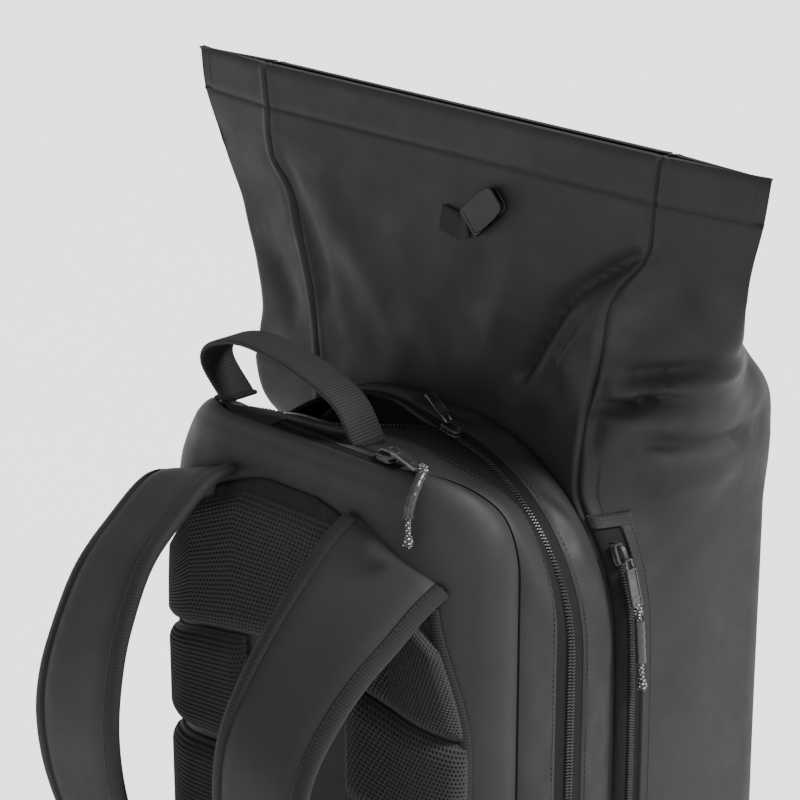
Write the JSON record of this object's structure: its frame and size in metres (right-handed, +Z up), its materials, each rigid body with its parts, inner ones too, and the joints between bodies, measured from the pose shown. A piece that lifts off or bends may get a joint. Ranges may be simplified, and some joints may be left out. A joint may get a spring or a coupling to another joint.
{
  "type": "racket backpack",
  "caption": "Roll-top backpack in matte charcoal coated fabric with a padded mesh back, an arched zipped racket compartment, two padded shoulder straps and a side zip pocket.",
  "frame": {"origin": "on the flat underside of the base, on the centre plane, under the seam between the racket compartment and the main compartment", "axes": "+Z up, -Y towards the wearer's back (harness side), +Y out of the front panel, +X towards the side with the zip pocket"},
  "size_m": [0.4534, 0.3662, 0.643],
  "materials": {
    "coated_fabric": "matte charcoal polyurethane-coated fabric",
    "coated_fabric_dark": "matte charcoal coated fabric, lining side and zip tape",
    "air_mesh": "black three-dimensional air mesh over foam",
    "ribbed_webbing": "black ribbed webbing and grosgrain binding",
    "black_plastic": "satin black plastic",
    "gunmetal": "satin gunmetal zinc sliders and pulls"
  },
  "bodies": {
    "bag": {"base_panel": "coated_fabric_dark", "base_board": "black_plastic", "harness_panel": "coated_fabric", "back_frame_sheet": "black_plastic", "mesh_pad_upper": "air_mesh", "mesh_pad_middle_left": "air_mesh", "mesh_pad_middle_right": "air_mesh", "mesh_pad_lower_left": "air_mesh", "mesh_pad_lower_right": "air_mesh", "gusset_front_strip": "coated_fabric", "gusset_rear_strip": "coated_fabric", "racket_zip_tape_front": "coated_fabric_dark", "racket_zip_tape_rear": "coated_fabric_dark", "racket_zip_coil_front": "black_plastic", "racket_zip_coil_rear": "black_plastic", "divider_panel": "coated_fabric_dark", "side_panel_left": "coated_fabric", "side_panel_right": "coated_fabric", "front_panel": "coated_fabric", "roll_top_collar": "coated_fabric_dark", "strap_root_left": "ribbed_webbing", "strap_root_right": "ribbed_webbing", "strap_anchor_tab_left": "ribbed_webbing", "strap_anchor_tab_right": "ribbed_webbing", "handle_patch_left": "ribbed_webbing", "handle_patch_right": "ribbed_webbing", "valuables_zip_coil": "black_plastic", "side_pocket_zip_tape": "coated_fabric_dark", "side_pocket_zip_coil": "black_plastic", "side_pocket_lining": "coated_fabric_dark", "closure_tab_webbing": "ribbed_webbing", "front_closure_webbing": "ribbed_webbing"},
    "roll_top": {"roll_top_flap": "coated_fabric_dark", "hem_stiffener_rear": "black_plastic", "hem_stiffener_front": "black_plastic"},
    "handle": {"grab_handle": "ribbed_webbing"},
    "strap_left": {"shoulder_strap_left": "coated_fabric", "strap_binding_inner_left": "ribbed_webbing", "strap_binding_outer_left": "ribbed_webbing", "lower_webbing_left": "ribbed_webbing"},
    "strap_right": {"shoulder_strap_right": "coated_fabric", "strap_binding_inner_right": "ribbed_webbing", "strap_binding_outer_right": "ribbed_webbing", "lower_webbing_right": "ribbed_webbing"},
    "lock_left": {"ladder_lock_left": "black_plastic"},
    "lock_right": {"ladder_lock_right": "black_plastic"},
    "racket_slider": {"racket_zip_slider": "gunmetal"},
    "racket_pull": {"racket_zip_pull_tab": "gunmetal"},
    "valuables_slider": {"valuables_zip_slider": "gunmetal"},
    "valuables_pull": {"valuables_pull_tab": "gunmetal", "valuables_cord_puller": "ribbed_webbing"},
    "pocket_slider": {"side_pocket_zip_slider": "gunmetal"},
    "pocket_pull": {"side_pocket_pull_tab": "gunmetal", "side_pocket_cord_puller": "ribbed_webbing"},
    "buckle_socket": {"closure_buckle_socket": "black_plastic"},
    "buckle_plug": {"closure_buckle_plug": "black_plastic"}
  },
  "joints": [
    {"name": "roll_top_fold", "type": "hinge", "parent": "bag", "child": "roll_top", "pos_m": [0, 0.0265, 0.588], "axis": [-1, 0, 0], "range_deg": [0, 136]},
    {"name": "handle_swing", "type": "hinge", "parent": "bag", "child": "handle", "pos_m": [0, -0.09, 0.4915], "axis": [1, 0, 0], "range_deg": [-55, 70], "stiffness_Nm_per_rad": 0.02},
    {"name": "strap_swing_left", "type": "hinge", "parent": "bag", "child": "strap_left", "pos_m": [-0.078, -0.1145, 0.432], "axis": [-0.1553, 0.0653, -0.9857], "range_deg": [-8, 10], "stiffness_Nm_per_rad": 0.6},
    {"name": "strap_swing_right", "type": "hinge", "parent": "bag", "child": "strap_right", "pos_m": [0.0785, -0.1135, 0.43], "axis": [0.1548, 0.0632, -0.9859], "range_deg": [-10, 7], "stiffness_Nm_per_rad": 0.6},
    {"name": "ladder_lock_tilt_left", "type": "hinge", "parent": "strap_left", "child": "lock_left", "pos_m": [-0.07226, -0.16196, 0.1314], "axis": [1, 0, 0], "range_deg": [-12, 12], "stiffness_Nm_per_rad": 0.01},
    {"name": "ladder_lock_tilt_right", "type": "hinge", "parent": "strap_right", "child": "lock_right", "pos_m": [0.07018, -0.15827, 0.12926], "axis": [1, 0, 0], "range_deg": [-12, 12], "stiffness_Nm_per_rad": 0.01},
    {"name": "racket_slider_travel", "type": "hinge", "parent": "bag", "child": "racket_slider", "pos_m": [0.027, -0.036, 0.358], "axis": [0, 1, 0], "range_deg": [0, 78]},
    {"name": "racket_pull_swing", "type": "hinge", "parent": "racket_slider", "child": "racket_pull", "pos_m": [0.041, -0.036, 0.4759], "axis": [0, 1, 0], "range_deg": [-25, 125]},
    {"name": "valuables_slider_travel", "type": "slide", "parent": "bag", "child": "valuables_slider", "axis": [-1, 0, 0], "range_m": [0, 0.012]},
    {"name": "valuables_pull_swing", "type": "hinge", "parent": "valuables_slider", "child": "valuables_pull", "pos_m": [0.065, -0.104, 0.4835], "axis": [0, 1, 0], "range_deg": [-100, 0]},
    {"name": "pocket_slider_travel", "type": "hinge", "parent": "bag", "child": "pocket_slider", "pos_m": [0.018, 0.011, 0.35], "axis": [0, 1, 0], "range_deg": [0, 6]},
    {"name": "pocket_pull_swing", "type": "hinge", "parent": "pocket_slider", "child": "pocket_pull", "pos_m": [0.13986, 0.00851, 0.40458], "axis": [0, 1, 0], "range_deg": [-110, 0]},
    {"name": "buckle_socket_swing", "type": "hinge", "parent": "bag", "child": "buckle_socket", "pos_m": [0.021, -0.0002, 0.58], "axis": [0, 1, 0], "range_deg": [-9, 58]},
    {"name": "buckle_plug_swing", "type": "hinge", "parent": "bag", "child": "buckle_plug", "pos_m": [0, 0.1356, 0.367], "axis": [1, 0, 0], "range_deg": [0, 100]}
  ]
}
